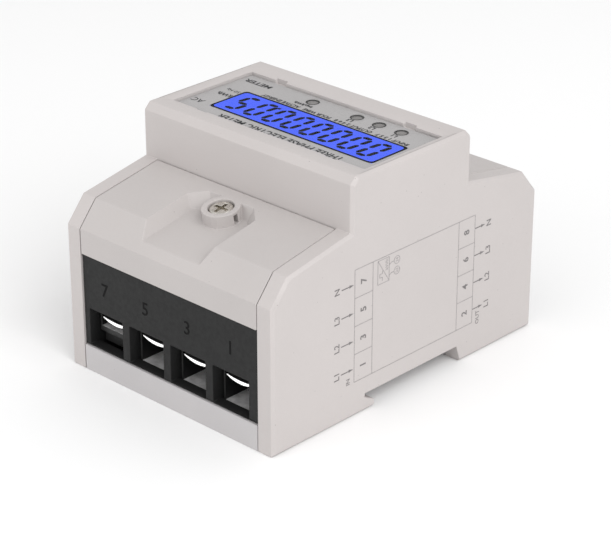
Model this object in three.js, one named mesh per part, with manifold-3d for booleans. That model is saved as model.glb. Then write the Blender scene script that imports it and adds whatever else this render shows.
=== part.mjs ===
// Three-phase energy meter for a 35 mm mounting rail, drawn lying on its back.
// +Z leaves the display, -Y is the end with the incoming terminals 1 3 5 7, +Y the outgoing end 2 4 6 8,
// and the origin is the centre of the back plane. Millimetres.
import * as THREE from "three";
import { mergeVertices } from "three/addons/utils/BufferGeometryUtils.js";
import Module from "manifold-3d";

const wasm = await Module();
wasm.setup();

// ---------------------------------------------------------------- driving dimensions
const GAP = 0.3; // between neighbouring pieces
const LAP = 0.1; // how far joined solids run into each other
const BEYOND = 1; // how far a cutter runs past the surface it opens
const CASE = { halfWidth: 37, halfLength: 50, height: 65.5, edge: 0.8 };
const END = { chamferZ: 40.1, shoulderY: 44.3, shoulderZ: 46.9 };
const BLOCK = { halfLength: 22.3, footZ: 50.9, bevel: 1.9 }; // raised middle that carries the display
const CHEEK = { wall: 2.4, rim: 5.14, rimDepth: 3.5, floorZ: 8.2 };
const CHEEK_INSIDE = CASE.halfWidth - CHEEK.rim;
const INSERT_HALF_WIDTH = CHEEK_INSIDE - GAP; // pieces that sit between the cheeks
const PARTITION = { thickness: 2.2, bottomZ: 31 };

const RAIL = {
  lipY: -13.4, lipEdge: 0.9, lipTopZ: 2.3, lipRootZ: 4, rootY: -16.9, seatZ: 5.1, farY: 18.7, mouthY: 20.5,
};
const BASE = { stripZ: 7.1, stripWall: 2.4, floor: 2.1, seatWall: 2.1 };
const CRADLE = { halfWidth: 7, halfLength: 3.6, topZ: 12.5 }; // under each current transformer

const TERMINAL = { pitch: 15.2, centreX: -0.75, perEnd: 4 };
const TERMINAL_X = Array.from(
  { length: TERMINAL.perEnd },
  (_, i) => TERMINAL.centreX + TERMINAL.pitch * ((TERMINAL.perEnd - 1) / 2 - i),
);
const PANEL = { faceY: -49.5, backY: -46.9, bottomZ: 7.4, topZ: 32.85 };
const TERMINAL_BODY = { backY: -35, bottomZ: 2.4, topZ: 31.1 };
const WIRE_WINDOW = { halfWidth: 6.3, innerHalfWidth: 5.9, z: [7.6, 18], innerZ: [8, 17.5] };
const CAGE = {
  halfWidth: 5.6, wall: 0.6, y: [-46.5, -37.7], floorZ: [6.1, 7.6], topZ: [15.7, 18.7],
  apronY: [-45.2, -44.4], apronZ: 2.8, lift: 4.8,
};
const CAGE_POCKET = { halfWidth: 5.9, backY: -37.3, topZ: 23.9 };
const BUSBAR_SLOT_Z = [12.3, 16];
const CLAMP_SCREW = {
  y: -42, shank: 2.3, tipZ: 15.5, head: 3.8, headZ: [25.2, 28.4], ledgeZ: 24.9, well: 4.2, edge: 0.5,
  cross: { radius: 2.6, width: 1.2, depth: 1.8 },
};
// The contact is a crescent: a lower and an upper arc, each with its radius and its lowest point.
const CONTACT = {
  halfWidth: 4.7, y: [-46.2, -36.4], lower: { radius: 11, z: 13.6 }, upper: { radius: 28, z: 14.5 },
};
const BAR = { halfWidth: 3, thickness: 1.4, lowZ: 13.7, highZ: 20, lowY: 33, highY: 27, endY: 38.5 };
const CURRENT_RING = { outer: 9.5, inner: 5.2, thickness: 8, edge: 1, offsetY: 8 };

const COVER = { wall: 1.8, backY: -22.6, lipZ: 33.15, skirt: 1.6 };
const LEAD_NOTCH = { y: [-51, -47.9], topZ: 36.6 }; // lets the pulse leads out under the cover's edge
// The hollow round the boss: its floor runs parallel to the shoulder, and every size is given at the
// floor and then at the shoulder.
const RECESS = {
  x: -0.3, depth: 3.6, wall: 1.6, frontY: -53,
  halfWidth: [10.2, 12.15], cornerY: [-30.8, -30.2], backHalfWidth: [6.6, 7.9], backY: [-27.4, -26.3],
};
const BOSS = { x: -0.4, y: -30.1, radius: 5.1, bore: 3.5, depth: 3, length: 6.2, hole: 2 };
const SEAL_SLOT = { width: 1.3, height: 2.6, top: 0.9 };
const COVER_SCREW = {
  head: 3.2, top: 0.35, underside: 2.7, shank: 1.7, tip: 16.5, edge: 0.35,
  cross: { radius: 2.1, width: 0.95, depth: 1.4 },
};
const COVER_POST = {
  radius: 3.6, top: 7.3, foot: 20, holeEnd: 17.2, halfWidth: 3.9, y: [-35.2, -24.6], bottomZ: 17.2,
};

const DISPLAY = { halfX: 33.7, halfY: 14.5, rimX: 36.1, rimY: 17.2, sillZ: 64.75, ceilingZ: 63.3 };
const WINDOW_Z = [64.2, 64.75];
const WINDOW_CLIP = { x: 22.75, halfWidth: 1.95, depth: 0.8, bottomZ: 63.5 };
const FACEPLATE = {
  halfX: 34.2, halfY: 17.6, z: [61.6, 63], raisedZ: 63.9, post: { x: 32.2, y: 15.8, radius: 1.5 },
};
const LCD = { x: [-25.6, 31.3], y: [-9.3, 4.5], z: [60.9, 63.9] };
const BACKLIGHT_Z = [57.9, 60.6];
const LAMP = { y: 10.85, radius: 1.8, hole: 2.15, flange: 2.05, edge: 0.4, z: [57.9, 58.9, 63.8] };
const LAMP_X = { pulse: -7.55, l3: 8.13, l2: 15.74, l1: 23.3 };
const DISPLAY_BOARD = { halfX: 34, halfY: 19.5, z: [56, 57.6] };
const MAIN_BOARD = { halfX: 31, halfY: 19.4, z: [33, 34.6] };
const STANDOFF = { x: 28.9, y: 16.6, radius: 2 };
const HEADER = { x: [-30, -14], y: [13.5, 16] };
const TRANSFORMER = {
  x: [-28, -10], y: [-11.5, -4.5], height: 14, leg: 2, yoke: 2.5, windingRadius: 6.5, windingHeight: [2, 12],
};
const FILM_CAPACITOR = { x: [0, 18], y: [-14, -7.5], height: 12 };
const STORAGE_CAPACITOR = {
  x: 20, y: 5, radius: 5, height: 14, edge: 0.5, grooveZ: [1, 1.4, 1.8], groove: 0.3,
};
const METERING_CHIP = { x: [-6, 5], y: [0, 11], height: 1.6 };
const VOLTAGE_TAP = { y: 17, radius: 0.6 };

const CASE_SCREW = {
  x: 29.1, y: 26.5, head: 2.1, shank: 1.2, headZ: [0.5, 2.5], tipZ: 15, edge: 0.5,
  cross: { radius: 1.4, width: 0.7, depth: 1.1 },
};
const CASE_POST = { radius: 2.2, bottomZ: 4.8, halfWeb: 1.2, bossRadius: 3.4, bossZ: [1, 4.5] };
const LATCH = {
  halfWidth: 8.1, z: [0.3, 4], noseY: 15.5, noseRun: 3, noseLip: 0.8, bodyEndY: 31.2,
  tongueZ: 1.8, endY: 49.4, slot: [22.3, 33.4], slotHalfWidth: 2.2, pull: { halfWidth: 3.2, y: [44.6, 46.8] },
};
const LATCH_TUNNEL = { halfWidth: 8.4, z: 4.4, roofZ: 6.2, wall: 1.6, y: [20, 34.6] };
const SPRING_PEG = { halfWidth: 1.9, y: [31.6, 33.1], bottomZ: 0.8 };
const SPRING = { radius: 1.6, z: 2.2 };
const PULSE = {
  halfWidth: 3.2, y: [-46.5, -37], z: [31.4, 38], pitch: 3.3, screwY: -41.5, wireZ: 33.9, wireBore: 1.1,
  well: 1.45, wellZ: 34.9, threadBore: 1, threadZ: 32.2,
};
const PULSE_SCREW = {
  head: 1.15, shank: 0.7, tipZ: 32.6, headZ: [35.2, 37.4], edge: 0.2, slotHalfWidth: 0.25, slotDepth: 0.8,
};

// ---------------------------------------------------------------- finishes
const finish = (colour, roughness, metalness = 0) =>
  new THREE.MeshStandardMaterial({ color: colour, roughness, metalness });
const FINISH = {
  housing: finish(0xdad5d1, 0.55),
  base: finish(0xcdc9c8, 0.55),
  cover: finish(0xcfcac6, 0.6),
  black: finish(0x363636, 0.7),
  clear: finish(0xe8eef0, 0.1),
  label: finish(0xb9babb, 0.45),
  lcd: finish(0x4a5cff, 0.3),
  diffuser: finish(0xf4f4f2, 0.4),
  lamp: finish(0x8d8884, 0.4),
  board: finish(0x1f6b3a, 0.5),
  steel: finish(0xb8b8b6, 0.35, 1),
  nickel: finish(0xd0ccc4, 0.25, 1),
  copper: finish(0xe4e2de, 0.3, 1),
  resin: finish(0x23262b, 0.5),
  latch: finish(0x4b4d50, 0.6),
  capacitor: finish(0xc9a227, 0.5),
  can: finish(0x26355c, 0.4),
  brass: finish(0xc8a75a, 0.35, 1),
};

// ---------------------------------------------------------------- solid helpers
function solidOf(geometry) {
  const bare = geometry.clone();
  bare.deleteAttribute("normal");
  bare.deleteAttribute("uv");
  const merged = mergeVertices(bare, 1e-4);
  return new wasm.Manifold(
    new wasm.Mesh({
      numProp: 3,
      vertProperties: merged.attributes.position.array,
      triVerts: new Uint32Array(merged.index.array),
    }),
  );
}

function block(x, y, z) {
  const geometry = new THREE.BoxGeometry(x[1] - x[0], y[1] - y[0], z[1] - z[0]);
  geometry.translate((x[0] + x[1]) / 2, (y[0] + y[1]) / 2, (z[0] + z[1]) / 2);
  return solidOf(geometry);
}

const centred = (middle, half) => [middle - half, middle + half];
const between = (first, second) => [Math.min(first, second), Math.max(first, second)];

function extruded(outline, depth, edge = 0) {
  const shape = new THREE.Shape(outline.map(([u, v]) => new THREE.Vector2(u, v)));
  const geometry = new THREE.ExtrudeGeometry(shape, {
    depth: depth - 2 * edge,
    bevelEnabled: edge > 0,
    bevelThickness: edge,
    bevelSize: edge,
    bevelOffset: -edge,
    bevelSegments: 1,
    curveSegments: 8,
  });
  return geometry.translate(0, 0, edge - depth / 2);
}

// A (y, z) outline pushed along X; a positive edge chamfers both ends all round.
function prismAlongX(outline, x, edge = 0) {
  const axes = new THREE.Matrix4().makeBasis(
    new THREE.Vector3(0, 1, 0), new THREE.Vector3(0, 0, 1), new THREE.Vector3(1, 0, 0),
  );
  const geometry = extruded(outline, x[1] - x[0], edge).applyMatrix4(axes);
  return solidOf(geometry.translate((x[0] + x[1]) / 2, 0, 0));
}

// An (x, z) outline pushed along Y.
function prismAlongY(outline, y) {
  const axes = new THREE.Matrix4().makeBasis(
    new THREE.Vector3(1, 0, 0), new THREE.Vector3(0, 0, 1), new THREE.Vector3(0, -1, 0),
  );
  const geometry = extruded(outline, y[1] - y[0]).applyMatrix4(axes);
  return solidOf(geometry.translate(0, (y[0] + y[1]) / 2, 0));
}

function rod(radius, from, to, sides = 20) {
  const start = new THREE.Vector3(...from);
  const run = new THREE.Vector3(...to).sub(start);
  const geometry = new THREE.CylinderGeometry(radius, radius, run.length(), sides);
  const turn = new THREE.Quaternion().setFromUnitVectors(new THREE.Vector3(0, 1, 0), run.clone().normalize());
  geometry.applyQuaternion(turn);
  const middle = start.addScaledVector(run, 0.5);
  return solidOf(geometry.translate(middle.x, middle.y, middle.z));
}

// A lathe profile of [radius, height] pairs about Z, both ends on the axis.
function turned(profile, sides = 20) {
  const points = profile.map(([radius, height]) => new THREE.Vector2(radius, height));
  return solidOf(new THREE.LatheGeometry(points, sides).rotateX(Math.PI / 2));
}

// The solid between two convex outlines with the same number of corners, the lower one first.
function loft(lower, upper) {
  const count = lower.length;
  const faces = [];
  for (let i = 1; i < count - 1; i++) {
    faces.push(0, i + 1, i, count, count + i, count + i + 1);
  }
  for (let i = 0; i < count; i++) {
    const next = (i + 1) % count;
    faces.push(i, next, count + next, i, count + next, count + i);
  }
  const geometry = new THREE.BufferGeometry();
  geometry.setAttribute("position", new THREE.Float32BufferAttribute([...lower, ...upper].flat(), 3));
  geometry.setIndex(faces);
  return solidOf(geometry);
}

const union = (first, ...others) => others.reduce((sum, next) => sum.add(next), first);
const cut = (first, ...others) => others.reduce((rest, next) => rest.subtract(next), first);

// The open line moved sideways by a distance, to its right as it is walked, with mitred corners.
function offsetLine(points, distance) {
  const normals = points.slice(1).map(([u, v], i) => {
    const along = new THREE.Vector2(u - points[i][0], v - points[i][1]).normalize();
    return new THREE.Vector2(along.y, -along.x);
  });
  return points.map(([u, v], i) => {
    const before = normals[Math.max(i - 1, 0)];
    const after = normals[Math.min(i, normals.length - 1)];
    const mitre = before.clone().add(after).normalize();
    const reach = distance / mitre.dot(after);
    return [u + mitre.x * reach, v + mitre.y * reach];
  });
}

const mirrored = (outline) => [...outline, ...outline.map(([y, z]) => [-y, z]).reverse()];

function piece(name, solid, material) {
  const mesh = solid.getMesh();
  const geometry = new THREE.BufferGeometry();
  geometry.setAttribute("position", new THREE.BufferAttribute(mesh.vertProperties, 3));
  geometry.setIndex(new THREE.BufferAttribute(mesh.triVerts, 1));
  geometry.computeVertexNormals();
  const made = new THREE.Mesh(geometry, material);
  made.name = name;
  return made;
}

// ---------------------------------------------------------------- shapes used more than once
const END_LINE = [
  [-CASE.halfLength, END.chamferZ],
  [-END.shoulderY, END.shoulderZ],
  [-BLOCK.halfLength, BLOCK.footZ],
];
const shoulderTilt = Math.atan2(BLOCK.footZ - END.shoulderZ, END.shoulderY - BLOCK.halfLength);
const shoulderZAt = (y) => END.shoulderZ + (y + END.shoulderY) * Math.tan(shoulderTilt);
const bossAxis = new THREE.Vector3(0, -Math.sin(shoulderTilt), Math.cos(shoulderTilt));
const bossTop = new THREE.Vector3(BOSS.x, BOSS.y, shoulderZAt(BOSS.y));
const alongBoss = (depth) => bossTop.clone().addScaledVector(bossAxis, -depth).toArray();

const RAIL_OUTLINE = [
  [RAIL.lipY - RAIL.lipEdge, -BEYOND], [RAIL.lipY - RAIL.lipEdge, 0],
  [RAIL.lipY, RAIL.lipEdge], [RAIL.lipY, RAIL.lipTopZ],
  [RAIL.rootY, RAIL.lipRootZ], [RAIL.rootY, RAIL.seatZ],
  [RAIL.farY, RAIL.seatZ], [RAIL.mouthY, 0], [RAIL.mouthY, -BEYOND],
];
const railChannel = (halfWidth) => prismAlongX(RAIL_OUTLINE.toReversed(), [-halfWidth, halfWidth]);

// The recess for a cross-point screwdriver, between two heights.
function crossRecess(cross, z) {
  const slot = block(centred(0, cross.radius), centred(0, cross.width / 2), z);
  return union(slot, slot.rotate([0, 0, 90]));
}

const CORNERS = [[-1, -1], [-1, 1], [1, -1], [1, 1]];

// ---------------------------------------------------------------- casings
function frontHousing() {
  const top = CASE.height;
  const outline = mirrored([
    [-CASE.halfLength, 0],
    ...END_LINE,
    [-BLOCK.halfLength, top - BLOCK.bevel],
    [-BLOCK.halfLength + BLOCK.bevel, top],
  ]);
  const inner = CASE.halfWidth - CHEEK.wall;
  const blockInside = BLOCK.halfLength - PARTITION.thickness;
  const hollow = mirrored([
    [-CASE.halfLength + CHEEK.rimDepth, CHEEK.floorZ],
    ...offsetLine(END_LINE, CHEEK.rimDepth).slice(0, 2),
    [-blockInside, END.shoulderZ],
    [-blockInside, DISPLAY.ceilingZ],
  ]);
  const [endY, belowZ, aboveZ] = [CASE.halfLength + BEYOND, -BEYOND, BLOCK.footZ + BEYOND];
  let housing = cut(
    prismAlongX(outline.toReversed(), [-CASE.halfWidth, CASE.halfWidth], CASE.edge),
    railChannel(CASE.halfWidth + BEYOND),
    prismAlongX(hollow.toReversed(), [-inner, inner]),
  );
  const partition = block(centred(0, inner + LAP), [-BLOCK.halfLength, -blockInside],
    [PARTITION.bottomZ, END.shoulderZ + BEYOND]);
  housing = union(housing, partition, partition.mirror([0, 1, 0]));
  housing = cut(
    housing,
    block(centred(0, CHEEK_INSIDE), [-endY, -BLOCK.halfLength], [belowZ, aboveZ]),
    block(centred(0, CHEEK_INSIDE), [BLOCK.halfLength, endY], [belowZ, aboveZ]),
    block(centred(0, CHEEK_INSIDE), centred(0, BLOCK.halfLength), [belowZ, PARTITION.bottomZ]),
    displayOpening(),
  );
  for (const [side, end] of CORNERS) {
    const [x, y] = [side * CASE_SCREW.x, end * CASE_SCREW.y];
    const hole = rod(CASE_SCREW.shank + GAP, [x, y, 0], [x, y, CASE_SCREW.tipZ + BEYOND], 12);
    housing = cut(union(housing, casePost(side, end)), hole);
  }
  return piece("front_housing", housing, FINISH.housing);
}

// The straight sides of the display opening, the sloping picture-frame rim above them, and the
// notches in its long sides for the window's clips.
function displayOpening() {
  const rectangle = (halfX, halfY, z) => [
    [-halfX, -halfY, z], [halfX, -halfY, z], [halfX, halfY, z], [-halfX, halfY, z],
  ];
  const rise = CASE.height - DISPLAY.sillZ;
  const reach = (halfRim, half) => halfRim + (halfRim - half);
  const { x, halfWidth, depth, bottomZ } = WINDOW_CLIP;
  const notches = [-x, x].map((middle) =>
    block(centred(middle, halfWidth), centred(0, DISPLAY.halfY + depth), [bottomZ, CASE.height]));
  const through = [DISPLAY.ceilingZ - BEYOND, CASE.height + BEYOND];
  return union(
    block(centred(0, DISPLAY.halfX), centred(0, DISPLAY.halfY), through),
    ...notches,
    loft(
      rectangle(DISPLAY.halfX, DISPLAY.halfY, DISPLAY.sillZ),
      rectangle(reach(DISPLAY.rimX, DISPLAY.halfX), reach(DISPLAY.rimY, DISPLAY.halfY), CASE.height + rise),
    ),
  );
}

function casePost(side, end) {
  const [x, y] = [side * CASE_SCREW.x, end * CASE_SCREW.y];
  const post = rod(CASE_POST.radius, [x, y, CASE_POST.bottomZ], [x, y, PARTITION.bottomZ], 12);
  const web = between(x, side * (CASE.halfWidth - CHEEK.wall + LAP));
  return union(post, block(web, centred(y, CASE_POST.halfWeb), [CHEEK.floorZ, PARTITION.bottomZ]));
}

function baseHousing() {
  const seatTop = RAIL.seatZ + BASE.seatWall;
  const profile = (side, railY, seatY) => [
    [side * CASE.halfLength, 0], [side * CASE.halfLength, BASE.stripZ],
    [side * (CASE.halfLength - BASE.stripWall), BASE.stripZ],
    [side * (CASE.halfLength - BASE.stripWall), BASE.floor],
    [railY + side * BASE.seatWall, BASE.floor], [seatY + side * BASE.seatWall, seatTop],
  ];
  const outline = [
    ...profile(1, RAIL.mouthY, RAIL.farY), ...profile(-1, RAIL.rootY, RAIL.rootY).reverse(),
  ];
  const tunnel = centred(0, LATCH_TUNNEL.halfWidth);
  let base = cut(
    union(
      prismAlongX(outline, centred(0, INSERT_HALF_WIDTH)),
      block(centred(0, LATCH_TUNNEL.halfWidth + LATCH_TUNNEL.wall), LATCH_TUNNEL.y, [0, LATCH_TUNNEL.roofZ]),
    ),
    railChannel(CASE.halfWidth),
    block(tunnel, [RAIL.farY - BEYOND, LATCH_TUNNEL.y[1] + BEYOND], [-BEYOND, LATCH_TUNNEL.z]),
    block(tunnel, [LATCH_TUNNEL.y[1], CASE.halfLength + BEYOND], [-BEYOND, BASE.floor + LAP]),
  );
  const pegZ = [SPRING_PEG.bottomZ, LATCH_TUNNEL.z + LAP];
  const peg = block(centred(0, SPRING_PEG.halfWidth), SPRING_PEG.y, pegZ);
  base = union(base, peg, ...phaseRings().map(([x, y]) => ringCradle(x, y, seatTop - LAP)));
  for (const [side, end] of CORNERS) {
    const foot = [STANDOFF.x * side, STANDOFF.y * end];
    const standoff = rod(STANDOFF.radius, [...foot, seatTop - LAP], [...foot, MAIN_BOARD.z[0] - GAP], 12);
    base = withScrewSeat(union(base, standoff), side * CASE_SCREW.x, end * CASE_SCREW.y);
  }
  return piece("base_housing", base, FINISH.base);
}

function ringCradle(x, y, bottomZ) {
  const { halfWidth, halfLength, topZ } = CRADLE;
  const [front, back] = centred(y, halfLength + BEYOND);
  const ring = rod(CURRENT_RING.outer + GAP, [x, front, BAR.highZ], [x, back, BAR.highZ]);
  return cut(block(centred(x, halfWidth), centred(y, halfLength), [bottomZ, topZ]), ring);
}

// The base with a boss for one case screw, sunk from below, and with its screw hole.
function withScrewSeat(base, x, y) {
  const { bossRadius, bossZ } = CASE_POST;
  const slab = (halfWidth, z) => block(centred(0, halfWidth), centred(y, bossRadius + BEYOND), z);
  const boss = union(
    rod(bossRadius, [x, y, bossZ[0]], [x, y, bossZ[1]], 16).intersect(slab(INSERT_HALF_WIDTH, bossZ)),
    block(between(x, Math.sign(x) * INSERT_HALF_WIDTH), centred(y, bossRadius), bossZ),
  );
  return cut(
    union(base, boss),
    rod(CASE_SCREW.head + GAP, [x, y, -BEYOND], [x, y, CASE_SCREW.headZ[1] + GAP], 16),
    rod(CASE_SCREW.shank + GAP, [x, y, 0], [x, y, bossZ[1] + BEYOND], 12),
  );
}

// ---------------------------------------------------------------- terminal end, drawn for the -Y end
function terminalBlock(name) {
  const width = centred(0, INSERT_HALF_WIDTH);
  let body = union(
    block(width, [PANEL.faceY, PANEL.backY + LAP], [PANEL.bottomZ, PANEL.topZ]),
    block(width, [PANEL.backY, TERMINAL_BODY.backY], [TERMINAL_BODY.bottomZ, TERMINAL_BODY.topZ]),
    block(centred(BOSS.x, COVER_POST.halfWidth), COVER_POST.y, [COVER_POST.bottomZ, TERMINAL_BODY.topZ]),
    rod(COVER_POST.radius, alongBoss(COVER_POST.top), alongBoss(COVER_POST.foot), 16),
  );
  for (const x of TERMINAL_X) {
    const { y, shank, ledgeZ, well } = CLAMP_SCREW;
    body = cut(
      body,
      wireWindow(x),
      block(centred(x, CAGE_POCKET.halfWidth), [PANEL.backY, CAGE_POCKET.backY],
        [TERMINAL_BODY.bottomZ - BEYOND, CAGE_POCKET.topZ]),
      block(centred(x, CONTACT.halfWidth + GAP + LAP),
        [CAGE_POCKET.backY - LAP, TERMINAL_BODY.backY + BEYOND], BUSBAR_SLOT_Z),
      rod(shank + GAP, [x, y, CAGE_POCKET.topZ - BEYOND], [x, y, ledgeZ + BEYOND], 16),
      rod(well, [x, y, ledgeZ], [x, y, PANEL.topZ + BEYOND], 20),
    );
  }
  body = cut(body, rod(BOSS.hole, alongBoss(COVER_POST.top - BEYOND), alongBoss(COVER_POST.holeEnd), 12));
  return piece(name, body, FINISH.black);
}

// The flared window for one wire, run on past both faces of the panel.
function wireWindow(x) {
  const { halfWidth, innerHalfWidth, z, innerZ } = WIRE_WINDOW;
  const frame = (y) => {
    const share = (PANEL.backY - y) / (PANEL.backY - PANEL.faceY);
    const half = innerHalfWidth + (halfWidth - innerHalfWidth) * share;
    const [low, high] = innerZ.map((inner, i) => inner + (z[i] - inner) * share);
    return [[x - half, y, low], [x + half, y, low], [x + half, y, high], [x - half, y, high]];
  };
  return loft(frame(PANEL.backY + BEYOND / 2), frame(PANEL.faceY - BEYOND / 2));
}

function terminalCage() {
  const { halfWidth, wall, floorZ, topZ, apronY, apronZ } = CAGE;
  const through = [CAGE.y[0] - BEYOND, CAGE.y[1] + BEYOND];
  const [holeLow, holeHigh] = [topZ[0] - BEYOND, topZ[1] + BEYOND];
  const shell = cut(
    block(centred(0, halfWidth), CAGE.y, [floorZ[0], topZ[1]]),
    block(centred(0, halfWidth - wall), through, [floorZ[1], topZ[0]]),
    rod(CLAMP_SCREW.shank + GAP, [0, CLAMP_SCREW.y, holeLow], [0, CLAMP_SCREW.y, holeHigh], 16),
  );
  return union(shell, block(centred(0, halfWidth - GAP), apronY, [apronZ, floorZ[0] + LAP]));
}

function clampScrew() {
  const { shank, head, headZ, tipZ, edge, cross } = CLAMP_SCREW;
  const body = turned(
    [[0, tipZ], [shank - edge, tipZ], [shank, tipZ + edge], [shank, headZ[0]], [head, headZ[0]],
      [head, headZ[1] - edge], [head - edge, headZ[1]], [0, headZ[1]]],
    16,
  );
  return cut(body, crossRecess(cross, [headZ[1] - cross.depth, headZ[1] + BEYOND]));
}

// The recess as a cutter, or, grown by the wall's thickness, as the skin that is left round it.
function recess(grow) {
  const outline = (lift) => {
    const at = ([floor, shoulder]) => floor + ((shoulder - floor) * lift) / RECESS.depth + grow;
    const corner = (x, y) => [RECESS.x + x, y, shoulderZAt(y) - RECESS.depth + lift - grow];
    const [half, backHalf] = [at(RECESS.halfWidth), at(RECESS.backHalfWidth)];
    const [cornerY, backY] = [at(RECESS.cornerY), at(RECESS.backY)];
    return [
      corner(-half, RECESS.frontY), corner(half, RECESS.frontY), corner(half, cornerY),
      corner(backHalf, backY), corner(-backHalf, backY), corner(-half, cornerY),
    ];
  };
  return loft(outline(0), outline(2 * RECESS.depth));
}

function terminalCover(name, leadNotch) {
  const outer = [
    [-CASE.halfLength, COVER.lipZ],
    ...END_LINE.slice(0, 2),
    [COVER.backY, shoulderZAt(COVER.backY)],
  ];
  const inner = offsetLine(outer, COVER.wall);
  const width = centred(0, INSERT_HALF_WIDTH);
  const under = prismAlongX([...outer, [COVER.backY, COVER.lipZ]].toReversed(), width);
  const skirt = (x) => under.intersect(block(x, [-CASE.halfLength, 0], [0, CASE.height]));
  let cover = union(
    prismAlongX([...outer, ...inner.toReversed()].toReversed(), width).intersect(under),
    skirt([INSERT_HALF_WIDTH - COVER.skirt, INSERT_HALF_WIDTH]),
    skirt([-INSERT_HALF_WIDTH, -INSERT_HALF_WIDTH + COVER.skirt]),
    recess(RECESS.wall).intersect(under),
  );
  cover = cut(cover, recess(0));
  cover = union(cover, rod(BOSS.radius, alongBoss(0), alongBoss(BOSS.length), 32));
  cover = cut(
    cover,
    rod(BOSS.bore, alongBoss(-BEYOND), alongBoss(BOSS.depth), 24),
    rod(BOSS.hole, alongBoss(0), alongBoss(BOSS.length + BEYOND), 16),
    sealSlot(),
  );
  if (leadNotch) {
    const z = [COVER.lipZ - BEYOND, LEAD_NOTCH.topZ];
    cover = cut(cover, block(centred(TERMINAL.centreX, PULSE.halfWidth), LEAD_NOTCH.y, z));
  }
  return piece(name, cover, FINISH.cover);
}

// The slot for a seal wire, straight through both sides of the boss.
function sealSlot() {
  const geometry = new THREE.BoxGeometry(2 * (BOSS.radius + GAP), SEAL_SLOT.width, SEAL_SLOT.height);
  geometry.rotateX(shoulderTilt);
  return solidOf(geometry.translate(...alongBoss(SEAL_SLOT.top + SEAL_SLOT.height / 2)));
}

function coverScrew(name) {
  const { head, top, underside, shank, tip, edge, cross } = COVER_SCREW;
  const body = turned(
    [[0, -tip], [shank - edge, -tip], [shank, -tip + edge], [shank, -underside], [head, -underside],
      [head, -top - edge], [head - edge, -top], [0, -top]],
    20,
  );
  const recessed = cut(body, crossRecess(cross, [-top - cross.depth, -top + BEYOND]));
  const screw = piece(name, recessed, FINISH.nickel);
  screw.position.copy(bossTop);
  screw.rotation.x = shoulderTilt;
  return screw;
}

function terminalEnd(names) {
  const end = new THREE.Group();
  end.add(terminalBlock(names.block), terminalCover(names.cover, names.leadNotch));
  end.add(coverScrew(names.coverScrew));
  names.numbers.forEach((number, i) => {
    const screw = piece(`terminal_screw_${number}`, clampScrew(), FINISH.steel);
    const cage = piece(`terminal_cage_${number}`, terminalCage(), FINISH.steel);
    screw.position.set(TERMINAL_X[i], CLAMP_SCREW.y, 0);
    cage.position.set(TERMINAL_X[i], 0, names.raised.includes(number) ? CAGE.lift : 0);
    end.add(screw, cage);
  });
  return end;
}

// ---------------------------------------------------------------- current path
function busbar() {
  const arc = ({ radius, z }) => {
    const half = Math.asin(CONTACT.halfWidth / radius);
    const steps = 8;
    return Array.from({ length: steps + 1 }, (_, i) => {
      const angle = -half + (2 * half * i) / steps;
      return [radius * Math.sin(angle), z + radius - radius * Math.cos(angle)];
    });
  };
  const crescent = [...arc(CONTACT.lower), ...arc(CONTACT.upper).reverse()];
  const plate = prismAlongY(crescent, CONTACT.y);
  const line = mirrored([[-BAR.endY, BAR.lowZ], [-BAR.lowY, BAR.lowZ], [-BAR.highY, BAR.highZ]]);
  const strip = [...offsetLine(line, BAR.thickness / 2), ...offsetLine(line, -BAR.thickness / 2).reverse()];
  return union(prismAlongX(strip, centred(0, BAR.halfWidth)), plate, plate.mirror([0, 1, 0]));
}

function phaseRings() {
  return [0, 1, 2].map((i) => [TERMINAL_X[i], i % 2 ? CURRENT_RING.offsetY : -CURRENT_RING.offsetY]);
}

function currentPath() {
  const path = new THREE.Group();
  ["l1", "l2", "l3", "n"].forEach((phase, i) => {
    const bar = piece(`busbar_${phase}`, busbar(), FINISH.copper);
    bar.position.x = TERMINAL_X[i];
    const tap = [TERMINAL_X[i], VOLTAGE_TAP.y];
    const pinZ = [BAR.highZ + BAR.thickness / 2 + GAP, MAIN_BOARD.z[0] - GAP];
    const pin = rod(VOLTAGE_TAP.radius, [...tap, pinZ[0]], [...tap, pinZ[1]], 8);
    path.add(bar, piece(`voltage_tap_${phase}`, pin, FINISH.brass));
  });
  phaseRings().forEach(([x, y], i) => {
    const half = CURRENT_RING.thickness / 2;
    const { outer, inner, edge } = CURRENT_RING;
    const disc = [
      [0, -half], [outer - edge, -half], [outer, -half + edge],
      [outer, half - edge], [outer - edge, half], [0, half],
    ];
    const ring = cut(turned(disc, 28), rod(inner, [0, 0, -half - BEYOND], [0, 0, half + BEYOND], 20));
    const transformer = piece(`current_transformer_l${i + 1}`, ring, FINISH.resin);
    transformer.position.set(x, y, BAR.highZ);
    transformer.rotation.x = Math.PI / 2;
    path.add(transformer);
  });
  return path;
}

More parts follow.
